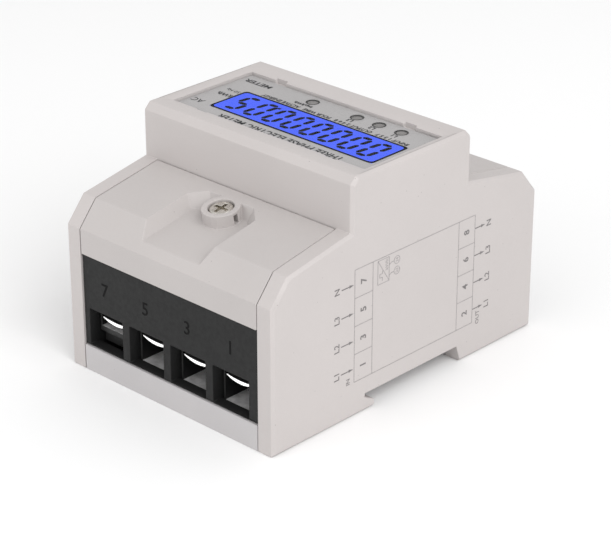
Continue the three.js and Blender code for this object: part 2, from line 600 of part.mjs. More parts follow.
// ---------------------------------------------------------------- display stack
function displayStack() {
  const stack = new THREE.Group();
  const clear = (range) => [range[0] + GAP, range[1] - GAP];
  const opening = [centred(0, DISPLAY.halfX - GAP), centred(0, DISPLAY.halfY - GAP)];
  const { x: clipX, halfWidth: clipHalf, depth: clipDepth } = WINDOW_CLIP;
  const clips = [-clipX, clipX].map((x) =>
    block(centred(x, clipHalf - GAP), centred(0, DISPLAY.halfY + clipDepth - GAP), WINDOW_Z));
  stack.add(piece("display_window", union(block(...opening, WINDOW_Z), ...clips), FINISH.clear));
  let plate = union(
    block(centred(0, FACEPLATE.halfX), centred(0, FACEPLATE.halfY), FACEPLATE.z),
    block(...opening, [FACEPLATE.z[0], FACEPLATE.raisedZ]),
  );
  for (const [side, end] of CORNERS) {
    const foot = [side * FACEPLATE.post.x, end * FACEPLATE.post.y];
    const z = [DISPLAY_BOARD.z[1] + GAP, FACEPLATE.z[0] + LAP];
    plate = union(plate, rod(FACEPLATE.post.radius, [...foot, z[0]], [...foot, z[1]], 12));
  }
  const through = [FACEPLATE.z[0] - BEYOND, FACEPLATE.raisedZ + BEYOND];
  plate = cut(plate, block(LCD.x, LCD.y, through));
  for (const x of Object.values(LAMP_X)) {
    plate = cut(plate, rod(LAMP.hole, [x, LAMP.y, through[0]], [x, LAMP.y, through[1]], 20));
  }
  stack.add(piece("faceplate", plate, FINISH.label));
  stack.add(piece("lcd_panel", block(clear(LCD.x), clear(LCD.y), LCD.z), FINISH.lcd));
  stack.add(piece("backlight_guide", block(clear(LCD.x), clear(LCD.y), BACKLIGHT_Z), FINISH.diffuser));
  for (const [lampName, x] of Object.entries(LAMP_X)) {
    const [foot, shelf, tip] = LAMP.z;
    const lens = turned(
      [[0, foot], [LAMP.flange, foot], [LAMP.flange, shelf], [LAMP.radius, shelf],
        [LAMP.radius, tip - LAMP.edge], [LAMP.radius - LAMP.edge, tip], [0, tip]],
      20,
    );
    const lamp = piece(`led_${lampName}`, lens, FINISH.lamp);
    lamp.position.set(x, LAMP.y, 0);
    stack.add(lamp);
  }
  const board = block(centred(0, DISPLAY_BOARD.halfX), centred(0, DISPLAY_BOARD.halfY), DISPLAY_BOARD.z);
  stack.add(piece("display_board", board, FINISH.board));
  return stack;
}

// ---------------------------------------------------------------- electronics
function electronics() {
  const group = new THREE.Group();
  const deck = MAIN_BOARD.z[1] + GAP;
  const onDeck = (box, height) => block(box.x, box.y, [deck, deck + height]);
  const board = block(centred(0, MAIN_BOARD.halfX), centred(0, MAIN_BOARD.halfY), MAIN_BOARD.z);
  group.add(piece("main_board", board, FINISH.board));
  group.add(piece("board_header", onDeck(HEADER, DISPLAY_BOARD.z[0] - GAP - deck), FINISH.resin));
  group.add(piece("power_transformer", powerTransformer(deck), FINISH.capacitor));
  const filmCapacitor = onDeck(FILM_CAPACITOR, FILM_CAPACITOR.height);
  group.add(piece("suppression_capacitor", filmCapacitor, FINISH.capacitor));
  const { x, y, radius, height, edge, grooveZ, groove } = STORAGE_CAPACITOR;
  const can = turned(
    [[0, 0], [radius, 0], [radius, grooveZ[0]], [radius - groove, grooveZ[1]], [radius, grooveZ[2]],
      [radius, height - edge], [radius - edge, height], [0, height]],
    20,
  );
  const capacitor = piece("storage_capacitor", can, FINISH.can);
  capacitor.position.set(x, y, deck);
  group.add(capacitor);
  group.add(piece("metering_chip", onDeck(METERING_CHIP, METERING_CHIP.height), FINISH.resin));
  return group;
}

// A frame core with its winding on the middle axis.
function powerTransformer(deck) {
  const { x, y, height, leg, yoke, windingRadius, windingHeight } = TRANSFORMER;
  const axis = [(x[0] + x[1]) / 2, (y[0] + y[1]) / 2];
  const core = cut(
    block(x, y, [deck, deck + height]),
    block([x[0] + leg, x[1] - leg], [y[0] - BEYOND, y[1] + BEYOND], [deck + yoke, deck + height - yoke]),
  );
  const [low, high] = windingHeight.map((above) => deck + above);
  return union(core, rod(windingRadius, [...axis, low], [...axis, high], 20));
}

// ---------------------------------------------------------------- pulse output, drawn for the -Y end
function pulseOutput() {
  const group = new THREE.Group();
  const poles = [[23, TERMINAL.centreX - PULSE.pitch / 2], [24, TERMINAL.centreX + PULSE.pitch / 2]];
  const top = PULSE.z[1] + BEYOND;
  let body = block(centred(TERMINAL.centreX, PULSE.halfWidth), PULSE.y, PULSE.z);
  for (const [, x] of poles) {
    body = cut(
      body,
      rod(PULSE.well, [x, PULSE.screwY, PULSE.wellZ], [x, PULSE.screwY, top], 16),
      rod(PULSE.threadBore, [x, PULSE.screwY, PULSE.threadZ], [x, PULSE.screwY, top], 12),
      rod(PULSE.wireBore, [x, PULSE.y[0] - BEYOND, PULSE.wireZ], [x, PULSE.screwY, PULSE.wireZ], 16),
    );
  }
  group.add(piece("pulse_terminal_block", body, FINISH.black));
  const { head, shank, tipZ, headZ, edge, slotHalfWidth, slotDepth } = PULSE_SCREW;
  for (const [number, x] of poles) {
    const profile = [
      [0, tipZ], [shank, tipZ], [shank, headZ[0]], [head, headZ[0]],
      [head, headZ[1] - edge], [head - edge, headZ[1]], [0, headZ[1]],
    ];
    const slot = block(centred(0, head + BEYOND), centred(0, slotHalfWidth), [headZ[1] - slotDepth, top]);
    const screw = piece(`pulse_screw_${number}`, cut(turned(profile, 12), slot), FINISH.nickel);
    screw.position.set(x, PULSE.screwY, 0);
    group.add(screw);
  }
  return group;
}

// ---------------------------------------------------------------- back of the case
function caseScrew() {
  const { head, shank, headZ, tipZ, edge, cross } = CASE_SCREW;
  const body = turned(
    [[0, headZ[0]], [head - edge, headZ[0]], [head, headZ[0] + edge], [head, headZ[1]], [shank, headZ[1]],
      [shank, tipZ - edge], [shank - edge, tipZ], [0, tipZ]],
    14,
  );
  return cut(body, crossRecess(cross, [headZ[0] - BEYOND, headZ[0] + cross.depth]));
}

function railLatch() {
  const [bottom, top] = LATCH.z;
  const outline = [
    [LATCH.noseY, top], [LATCH.noseY, top - LATCH.noseLip], [LATCH.noseY + LATCH.noseRun, bottom],
    [LATCH.endY, bottom], [LATCH.endY, LATCH.tongueZ], [LATCH.bodyEndY, LATCH.tongueZ], [LATCH.bodyEndY, top],
  ];
  const body = cut(
    prismAlongX(outline, centred(0, LATCH.halfWidth)),
    block(centred(0, LATCH.slotHalfWidth), LATCH.slot, [bottom - BEYOND, top + BEYOND]),
    block(centred(0, LATCH.pull.halfWidth), LATCH.pull.y, [bottom - BEYOND, top + BEYOND]),
  );
  return piece("rail_latch", body, FINISH.latch);
}

function latchSpring() {
  const [start, end] = [LATCH.slot[0] + GAP, SPRING_PEG.y[0] - GAP];
  const spring = rod(SPRING.radius, [0, start, SPRING.z], [0, end, SPRING.z], 12);
  return piece("latch_spring", spring, FINISH.steel);
}

// ---------------------------------------------------------------- assembly
const meter = new THREE.Group();
meter.name = "smart_electric_meter";
meter.add(frontHousing(), baseHousing(), railLatch(), latchSpring());
meter.add(currentPath(), displayStack(), electronics());

CORNERS.forEach(([side, end], i) => {
  const screw = piece(`case_screw_${i + 1}`, caseScrew(), FINISH.steel);
  screw.position.set(side * CASE_SCREW.x, end * CASE_SCREW.y, 0);
  meter.add(screw);
});

const incoming = terminalEnd({
  block: "terminal_block_in", cover: "terminal_cover_in", coverScrew: "cover_screw_in",
  numbers: [1, 3, 5, 7], raised: [7], leadNotch: false,
});
const outgoing = terminalEnd({
  block: "terminal_block_out", cover: "terminal_cover_out", coverScrew: "cover_screw_out",
  numbers: [2, 4, 6, 8], raised: [], leadNotch: true,
});
outgoing.add(pulseOutput());
outgoing.scale.y = -1;
meter.add(incoming, outgoing);

export default meter;
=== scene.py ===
import math

import bmesh
import bpy
from mathutils import Matrix, Vector


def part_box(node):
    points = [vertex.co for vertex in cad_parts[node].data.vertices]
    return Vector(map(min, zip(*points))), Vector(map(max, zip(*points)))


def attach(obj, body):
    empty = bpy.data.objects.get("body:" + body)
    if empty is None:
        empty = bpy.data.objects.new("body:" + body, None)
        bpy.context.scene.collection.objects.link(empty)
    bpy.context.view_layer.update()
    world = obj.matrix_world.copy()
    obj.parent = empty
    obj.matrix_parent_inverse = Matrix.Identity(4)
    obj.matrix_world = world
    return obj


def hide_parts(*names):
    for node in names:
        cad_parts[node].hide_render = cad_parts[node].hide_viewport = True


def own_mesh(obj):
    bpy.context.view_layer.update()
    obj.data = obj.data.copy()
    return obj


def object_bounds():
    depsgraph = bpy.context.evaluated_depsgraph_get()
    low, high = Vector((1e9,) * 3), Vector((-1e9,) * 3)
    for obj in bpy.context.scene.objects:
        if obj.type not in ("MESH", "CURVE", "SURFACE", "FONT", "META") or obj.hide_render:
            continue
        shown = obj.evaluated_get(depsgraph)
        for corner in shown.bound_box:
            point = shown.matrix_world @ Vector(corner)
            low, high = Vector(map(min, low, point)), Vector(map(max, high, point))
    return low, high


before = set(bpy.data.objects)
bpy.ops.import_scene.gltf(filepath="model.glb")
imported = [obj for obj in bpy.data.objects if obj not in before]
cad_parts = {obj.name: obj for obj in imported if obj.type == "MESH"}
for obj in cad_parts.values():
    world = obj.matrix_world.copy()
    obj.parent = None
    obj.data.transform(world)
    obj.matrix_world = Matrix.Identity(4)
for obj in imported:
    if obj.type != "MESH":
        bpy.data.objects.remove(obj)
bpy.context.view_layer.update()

MM = 0.001
CASE_BODY = "meter_case"

# The camera's place, in degrees and metres, round the point that it looks at.
VIEW = {"azimuth": 43.64, "elevation": 25.54, "distance": 0.5904, "target": (0.0034, -0.0034, 0.0226)}
LENS_MM, SENSOR_MM = 132.8, 36.0

# Each lamp's direction in degrees, its distance and side in metres, and its power in watts.
SOFTBOXES = {
    "key_softbox": (75, 42, 1.3, 0.9, 9.0),
    "front_softbox": (-15, 14, 1.6, 1.2, 5.4),
}
SKY_STRENGTH = 0.82
FLOOR = {"radius": 6.0, "sides": 96, "gap": 0.05 * MM, "tone": (0.9, 0.9, 0.9)}


# ---------------------------------------------------------------- camera, light and floor
def turned_from(azimuth, elevation):
    """The unit vector from the object towards a viewer or light at these angles in degrees."""
    a, e = math.radians(azimuth), math.radians(elevation)
    return Vector((math.sin(a) * math.cos(e), -math.cos(a) * math.cos(e), math.sin(e)))


def link(thing):
    bpy.context.scene.collection.objects.link(thing)
    return thing


def place_camera():
    data = bpy.data.cameras.new("camera")
    data.lens, data.sensor_width = LENS_MM, SENSOR_MM
    camera = link(bpy.data.objects.new("camera", data))
    back = turned_from(VIEW["azimuth"], VIEW["elevation"])
    camera.location = Vector(VIEW["target"]) + back * VIEW["distance"]
    camera.rotation_euler = back.to_track_quat("Z", "Y").to_euler()
    bpy.context.scene.camera = camera


def softbox(name, azimuth, elevation, distance, size, power):
    data = bpy.data.lights.new(name, "AREA")
    data.shape, data.size, data.energy = "SQUARE", size, power
    lamp = link(bpy.data.objects.new(name, data))
    towards = turned_from(azimuth, elevation)
    lamp.location = towards * distance
    lamp.rotation_euler = towards.to_track_quat("Z", "Y").to_euler()


def light_scene():
    world = bpy.data.worlds.new("studio")
    bpy.context.scene.world = world
    world.use_nodes = True
    background = world.node_tree.nodes["Background"]
    background.inputs["Color"].default_value = (1.0, 1.0, 1.0, 1.0)
    background.inputs["Strength"].default_value = SKY_STRENGTH
    for name, place in SOFTBOXES.items():
        softbox(name, *place)
    bpy.context.scene.view_settings.view_transform = "Standard"


def lay_floor():
    bm = bmesh.new()
    bmesh.ops.create_circle(bm, cap_ends=True, segments=FLOOR["sides"], radius=FLOOR["radius"])
    mesh = bpy.data.meshes.new("floor")
    bm.to_mesh(mesh)
    bm.free()
    floor = link(bpy.data.objects.new("floor", mesh))
    floor.location.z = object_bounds()[0].z - FLOOR["gap"]
    paint = Paint("studio_floor", FLOOR["tone"], 0.9)
    paint.roughness_from(paint.noise(6.0), 0.85, 0.95)
    floor.data.materials.append(paint.material)


# ---------------------------------------------------------------- materials
# The parts of a noise texture's range that are stretched to its whole range.
WIDE_BAND, MIDDLE_BAND, NARROW_BAND = (0.3, 0.7), (0.35, 0.65), (0.4, 0.6)
ALONG_Z = (300.0, 300.0, 3000.0)  # scratch texture: cells per metre along each axis
ALONG_X_AND_Z = (3000.0, 300.0, 3000.0)
SCREW_TURNINGS = (2600.0, 2600.0, 400.0)
FINE_RELIEF, SCRATCH_RELIEF, TRACK_RELIEF = 0.004 * MM, 0.003 * MM, 0.03 * MM


class Paint:
    """A Principled material with short calls for the textures that feed it, in object space."""

    def __init__(self, name, colour, roughness, metallic=0.0):
        self.material = bpy.data.materials.new(name)
        self.material.use_nodes = True
        self.tree = self.material.node_tree
        self.shader = self.tree.nodes["Principled BSDF"]
        self.set("Base Color", (*colour, 1.0))
        self.set("Roughness", roughness)
        self.set("Metallic", metallic)
        self.place = self.add("ShaderNodeTexCoord").outputs["Object"]

    def add(self, kind, **settings):
        node = self.tree.nodes.new(kind)
        for key, value in settings.items():
            setattr(node, key, value)
        return node

    def join(self, source, target):
        self.tree.links.new(source, target)

    def set(self, socket, value):
        self.shader.inputs[socket].default_value = value

    def stretched(self, scale):
        node = self.add("ShaderNodeMapping")
        node.inputs["Scale"].default_value = scale
        self.join(self.place, node.inputs["Vector"])
        return node.outputs["Vector"]

    def noise(self, scale, detail=2.0, vector=None):
        node = self.add("ShaderNodeTexNoise")
        node.inputs["Scale"].default_value = scale
        node.inputs["Detail"].default_value = detail
        self.join(vector or self.place, node.inputs["Vector"])
        return node.outputs["Fac"]

    def spread(self, value, low, high, to_low=0.0, to_high=1.0):
        node = self.add("ShaderNodeMapRange")
        limits = {"From Min": low, "From Max": high, "To Min": to_low, "To Max": to_high}
        for socket, number in limits.items():
            node.inputs[socket].default_value = number
        self.join(value, node.inputs["Value"])
        return node.outputs["Result"]

    def blend(self, factor, first, second):
        """A colour between two, each a socket or a plain colour."""
        node = self.add("ShaderNodeMix", data_type="RGBA")
        slots = [s for s in node.inputs if s.type == "RGBA"]
        for socket, colour in zip(slots, (first, second)):
            if isinstance(colour, bpy.types.NodeSocket):
                self.join(colour, socket)
            else:
                socket.default_value = (*colour[:3], 1.0)
        self.join(factor, node.inputs["Factor"])
        return [s for s in node.outputs if s.type == "RGBA"][0]

    def specks(self, cells, size, share):
        """1 inside a small dot in this share of the cells, else 0."""
        node = self.add("ShaderNodeTexVoronoi")
        node.inputs["Scale"].default_value = cells
        self.join(self.place, node.inputs["Vector"])
        dot = self.spread(node.outputs["Distance"], size, size * 0.5)
        split = self.add("ShaderNodeSeparateColor")
        self.join(node.outputs["Color"], split.inputs["Color"])
        chosen = self.add("ShaderNodeMath", operation="LESS_THAN")
        self.join(split.outputs["Red"], chosen.inputs[0])
        chosen.inputs[1].default_value = share
        return self.times(dot, chosen.outputs["Value"])

    def facing(self):
        """The three parts of the surface's direction, in object space."""
        split = self.add("ShaderNodeSeparateXYZ")
        self.join(self.add("ShaderNodeTexCoord").outputs["Normal"], split.inputs["Vector"])
        return split.outputs

    def size_of(self, value):
        node = self.add("ShaderNodeMath", operation="ABSOLUTE")
        self.join(value, node.inputs[0])
        return node.outputs["Value"]

    def times(self, first, second):
        node = self.add("ShaderNodeMath", operation="MULTIPLY")
        self.join(first, node.inputs[0])
        self.join(second, node.inputs[1])
        return node.outputs["Value"]

    def base(self, colour_socket):
        self.join(colour_socket, self.shader.inputs["Base Color"])

    def roughness_from(self, value, low, high):
        self.join(self.spread(value, *WIDE_BAND, low, high), self.shader.inputs["Roughness"])

    def bump(self, *heights):
        """Stacks (height socket, depth in metres) pairs as bump."""
        normal = None
        for height, depth in heights:
            node = self.add("ShaderNodeBump")
            node.inputs["Distance"].default_value = depth
            self.join(height, node.inputs["Height"])
            if normal:
                self.join(normal, node.inputs["Normal"])
            normal = node.outputs["Normal"]
        self.join(normal, self.shader.inputs["Normal"])


def shade(colour, factor):
    return tuple(min(1.0, c * factor) for c in colour[:3])


def grained_plastic(name, colour, roughness=0.5, grain=0.012, speck_share=0.35, gloss=0.5):
    """Spark-textured moulding: a fine grain, slow drifts of tone, and a few dark specks in the pigment."""
    paint = Paint(name, colour, roughness)
    paint.set("Specular IOR Level", gloss)
    drift = paint.spread(paint.noise(38.0, 3.0), *WIDE_BAND)
    grain_noise = paint.noise(2600.0, 3.0)
    tone = paint.blend(drift, shade(colour, 0.975), shade(colour, 1.02))
    tone = paint.blend(paint.spread(grain_noise, *MIDDLE_BAND, 0.0, 0.10), tone, shade(colour, 0.86))
    tone = paint.blend(paint.specks(330.0, 0.055, speck_share), tone, shade(colour, 0.62))
    paint.base(tone)
    paint.roughness_from(paint.noise(900.0, 2.0), roughness - 0.05, roughness + 0.07)
    paint.bump((grain_noise, grain * MM), (paint.noise(420.0, 2.0), grain * 0.8 * MM))
    return paint.material


def plated_metal(name, colour, roughness, scratch=ALONG_Z):
    """Plated metal with drawn scratches along one axis and uneven dulling."""
    paint = Paint(name, colour, roughness, 1.0)
    cloud = paint.noise(700.0, 3.0)
    paint.base(paint.blend(paint.spread(cloud, *MIDDLE_BAND), shade(colour, 0.86), shade(colour, 1.05)))
    lines = paint.noise(1.0, 2.0, paint.stretched(scratch))
    paint.roughness_from(cloud, roughness - 0.06, roughness + 0.12)
    paint.bump((lines, SCRATCH_RELIEF))
    return paint.material


def cage_steel(name, bright, shaded_tone, dark):
    """Sheet steel with painted light by facing: faces that look up are painted lit, faces that look along y
    are painted in shade, and faces that look sideways are painted in deep shade.
    """
    paint = Paint(name, bright, 0.42, 0.25)
    _, facing_y, facing_z = paint.facing()
    # Painted shade: faces that look along y get the lighter painted shade, faces that look sideways the
    # deeper one.
    lighter_shade_facing_y = paint.spread(paint.size_of(facing_y), 0.3, 0.9)
    # Painted light: faces that look up are painted lit.
    lit_facing_up = paint.spread(facing_z, 0.4, 0.9)
    cloud = paint.noise(500.0, 3.0)
    metal = paint.blend(paint.spread(cloud, *MIDDLE_BAND), shade(bright, 0.8), shade(bright, 1.1))
    # Up-facing faces take the lit metal tone, the rest take the painted shade tones.
    paint.base(paint.blend(lit_facing_up, paint.blend(lighter_shade_facing_y, dark, shaded_tone), metal))
    paint.roughness_from(cloud, 0.34, 0.5)
    paint.bump((paint.noise(1.0, 2.0, paint.stretched(ALONG_X_AND_Z)), FINE_RELIEF))
    return paint.material


def clear_sheet(name):
    """Thin clear moulding: gloss on top, and what lies under it shows through."""
    paint = Paint(name, (0.86, 0.89, 0.9), 0.06)
    paint.set("Alpha", 0.015)
    paint.set("Specular IOR Level", 0.08)
    paint.roughness_from(paint.noise(60.0), 0.04, 0.1)
    paint.bump((paint.noise(90.0), FINE_RELIEF))
    paint.material.surface_render_method = "BLENDED"
    return paint.material


def label_film(name, colour):
    """Satin printed film with a slow drift of tone and fine screen-print grain."""
    paint = Paint(name, colour, 0.45)
    paint.set("Specular IOR Level", 0.25)
    drift = paint.spread(paint.noise(22.0, 2.0), *WIDE_BAND)
    tone = paint.blend(drift, shade(colour, 0.96), shade(colour, 1.03))
    print_grain = paint.spread(paint.noise(3200.0), *NARROW_BAND, 0.0, 0.12)
    paint.base(paint.blend(print_grain, tone, shade(colour, 0.85)))
    paint.roughness_from(paint.noise(1400.0), 0.3, 0.42)
    paint.bump((paint.noise(2400.0), FINE_RELIEF))
    return paint.material


def lit_glass(name, colour, glow):
    """A backlit panel: even light with a slow drift, under a glass face."""
    paint = Paint(name, shade(colour, 0.05), 0.3)
    paint.set("Specular IOR Level", 0.0)
    drift = paint.spread(paint.noise(45.0, 1.0), *WIDE_BAND)
    light = paint.blend(drift, shade(colour, 0.96), shade(colour, 1.03))
    paint.join(light, paint.shader.inputs["Emission Color"])
    paint.set("Emission Strength", glow)
    paint.roughness_from(paint.noise(500.0), 0.15, 0.25)
    return paint.material


def bright_tin(name):
    """Tin plate with painted light: its cut ends are painted near white and glow by emission as a painted
    highlight, and its other faces are painted near black as shade.
    """
    paint = Paint(name, (0.9, 0.9, 0.89), 0.3)
    cloud = paint.noise(800.0, 3.0)
    bright = paint.blend(paint.spread(cloud, *MIDDLE_BAND), (0.93, 0.93, 0.92), (0.98, 0.98, 0.97))
    # Painted light by facing: faces that look along y are painted near white, the rest near black as painted
    # shade.
    painted_lit_end = paint.spread(paint.size_of(paint.facing()[1]), 0.6, 0.95)
    paint.base(paint.blend(painted_lit_end, (0.05, 0.05, 0.05), bright))
    # Painted glow: the same faces also emit light, though the plate is no lamp.
    painted_glow = paint.blend(painted_lit_end, (0.0, 0.0, 0.0), (1.0, 1.0, 1.0))
    paint.join(painted_glow, paint.shader.inputs["Emission Color"])
    paint.set("Emission Strength", 0.6)
    paint.roughness_from(cloud, 0.24, 0.38)
    return paint.material


def smooth_resin(name, colour, roughness, cloudiness=0.1):
    """Cast or moulded resin, nearly smooth, with faint clouds in it."""
    paint = Paint(name, colour, roughness)
    cloud = paint.spread(paint.noise(420.0, 3.0), *WIDE_BAND)
    paint.base(paint.blend(cloud, shade(colour, 1 - cloudiness), shade(colour, 1 + cloudiness)))
    paint.roughness_from(paint.noise(700.0), roughness - 0.05, roughness + 0.08)
    paint.bump((paint.noise(1500.0), FINE_RELIEF))
    return paint.material


def circuit_board(name):
    """Green solder mask with a faint weave under it, and copper tracks that show as lighter lines."""
    mask, track = (0.012, 0.105, 0.04), (0.03, 0.2, 0.075)
    paint = Paint(name, mask, 0.35)
    bricks = paint.add("ShaderNodeTexBrick", offset=0.37, squash=1.0)
    bricks.inputs["Scale"].default_value = 160.0
    bricks.inputs["Mortar Size"].default_value = 0.05
    bricks.inputs["Color1"].default_value = bricks.inputs["Color2"].default_value = (0, 0, 0, 1)
    bricks.inputs["Mortar"].default_value = (1, 1, 1, 1)
    paint.join(paint.place, bricks.inputs["Vector"])
    tone = paint.blend(bricks.outputs["Fac"], mask, track)
    weave = paint.spread(paint.noise(900.0), *NARROW_BAND, 0.0, 0.3)
    paint.base(paint.blend(weave, tone, shade(mask, 0.7)))
    paint.bump((bricks.outputs["Fac"], TRACK_RELIEF))
    return paint.material


def ink(name, colour, roughness=0.5, gloss=0.5):
    """Printed ink with slight unevenness."""
    unevenness = 0.15
    paint = Paint(name, colour, roughness)
    paint.set("Specular IOR Level", gloss)
    wear = paint.spread(paint.noise(4000.0), *NARROW_BAND)
    paint.base(paint.blend(wear, shade(colour, 1 - unevenness), shade(colour, 1 + unevenness)))
    paint.roughness_from(paint.noise(2500.0), roughness - 0.05, roughness + 0.05)
    return paint.material


HOUSING, COVER, BASE = (0.51, 0.476, 0.466), (0.48, 0.45, 0.44), (0.49, 0.472, 0.476)
BLACK, LATCH_GREY = (0.0095, 0.0095, 0.0096), (0.06, 0.062, 0.065)
# Cage steel tones are painted light by facing: lit metal for up-facing faces, painted shade for faces along
# y, deep painted shade for sideways faces.
STEEL_PAINTED_LIT, STEEL_PAINTED_SHADE, STEEL_PAINTED_DEEP_SHADE = (0.75, 0.74, 0.74), (0.022, 0.022, 0.022), (0.004, 0.004, 0.004)

MATERIALS = {
    "housing_plastic": grained_plastic("housing_plastic", HOUSING),
    "base_plastic": grained_plastic("base_plastic", BASE, 0.52),
    "cover_plastic": grained_plastic("cover_plastic", COVER, 0.52),
    "black_plastic": grained_plastic("black_plastic", BLACK, 0.55, 0.014, 0.0, 0.3),
    "latch_plastic": grained_plastic("latch_plastic", LATCH_GREY, 0.5, 0.012, 0.0),
    "clear_window": clear_sheet("clear_window"),
    "label_sheet": label_film("label_sheet", (0.37, 0.358, 0.358)),
    "lcd_glass": lit_glass("lcd_glass", (0.08, 0.145, 1.0), 0.95),
    "light_guide": smooth_resin("light_guide", (0.85, 0.86, 0.85), 0.25, 0.03),
    "lamp_lens": smooth_resin("lamp_lens", (0.17, 0.16, 0.155), 0.4),
    "circuit_board": circuit_board("circuit_board"),
    "black_resin": smooth_resin("black_resin", (0.02, 0.022, 0.026), 0.4),
    "ferrite_core": smooth_resin("ferrite_core", (0.06, 0.055, 0.052), 0.6, 0.2),
    "film_capacitor_case": smooth_resin("film_capacitor_case", (0.58, 0.36, 0.04), 0.4),
    "capacitor_sleeve": smooth_resin("capacitor_sleeve", (0.02, 0.035, 0.11), 0.3),
    "tinned_copper": bright_tin("tinned_copper"),
    "brass_pin": plated_metal("brass_pin", (0.72, 0.52, 0.2), 0.3),
    "spring_steel": plated_metal("spring_steel", (0.56, 0.55, 0.53), 0.32),
    "zinc_steel": cage_steel("zinc_steel", STEEL_PAINTED_LIT, STEEL_PAINTED_SHADE, STEEL_PAINTED_DEEP_SHADE),
    "nickel_screw": plated_metal("nickel_screw", (0.68, 0.65, 0.6), 0.22, SCREW_TURNINGS),
}
INK = {
    "label": ink("label_ink", (0.02, 0.02, 0.022), 0.5, 0.1),
    "segments": ink("segment_ink", (0.002, 0.002, 0.005), 0.5, 0.0),
    "side": ink("side_ink", (0.17, 0.16, 0.16)),
    "side_line": ink("side_line_ink", (0.33, 0.31, 0.31)),
    # Numeral ink darker than the black panel: the numbers are real, their darker tone is painted shade
    # standing in for the shadow in engraved numbers.
    "moulded": ink("moulded_numeral_painted_shade", (0.003, 0.003, 0.003), 0.6, 0.12),
    "washer": ink("lamp_surround", (0.03, 0.028, 0.027), 0.45, 0.1),
}


# ---------------------------------------------------------------- CAD nodes
WELD_DISTANCE = 0.001 * MM
EDGE_STEPS, EDGE_ANGLE = 2, 28.0
SOFT_EDGES = {  # radius in millimetres by the beginning of a node's name
    "front_housing": 0.17, "base_housing": 0.17, "terminal_cover": 0.17,
    "terminal_block": 0.18, "rail_latch": 0.18, "pulse_terminal_block": 0.18,
    "cover_screw": 0.1, "terminal_screw": 0.1, "case_screw": 0.1, "pulse_screw": 0.1, "terminal_cage": 0.1,
    "led_": 0.15,
}


def welded_group():
    """Geometry nodes that join the loaded triangles into one skin with no stored normals."""
    group = bpy.data.node_groups.new("welded_skin", "GeometryNodeTree")
    group.interface.new_socket("Geometry", in_out="INPUT", socket_type="NodeSocketGeometry")
    group.interface.new_socket("Geometry", in_out="OUTPUT", socket_type="NodeSocketGeometry")
    kinds = ("NodeGroupInput", "GeometryNodeMergeByDistance", "GeometryNodeRemoveAttribute",
             "GeometryNodeSetShadeSmooth", "NodeGroupOutput")
    chain = [group.nodes.new(kind) for kind in kinds]
    chain[1].inputs["Distance"].default_value = WELD_DISTANCE
    chain[2].inputs["Name"].default_value = "custom_normal"
    for first, second in zip(chain, chain[1:]):
        group.links.new(first.outputs[0], second.inputs[0])
    return group


WELDED = welded_group()


def soften(node, radius):
    """Rounds a CAD node's edges by modifiers: its own mesh stays as it is."""
    node.modifiers.new("welded", "NODES").node_group = WELDED
    edge = node.modifiers.new("soft_edges", "BEVEL")
    edge.width, edge.segments = radius, EDGE_STEPS
    edge.limit_method, edge.angle_limit = "ANGLE", math.radians(EDGE_ANGLE)
    edge.use_clamp_overlap = False
    edge.miter_outer = "MITER_ARC"
    node.modifiers.new("flat_shading", "WEIGHTED_NORMAL").keep_sharp = True


def dress_cad_nodes():
    """Gives every CAD node the procedural material of its slot in the record, and soft edges."""
    for name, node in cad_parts.items():
        for slot in node.material_slots:
            slot.material = MATERIALS[slot.material.name]
        for start, radius in SOFT_EDGES.items():
            if name.startswith(start):
                soften(node, radius * MM)


# ---------------------------------------------------------------- printed and lit artwork
# Artwork is measured in the reader's millimetres: u to the reader's right, v up.
CAPITAL_SHARE = 0.73  # height of a capital in the built-in type, as a share of the type's size
INK_THICKNESS, INK_LIFT = 0.03, 0.01
CIRCLE_SIDES, CORNER_STEPS = 32, 5
SAME_POINT = 0.0005 * MM


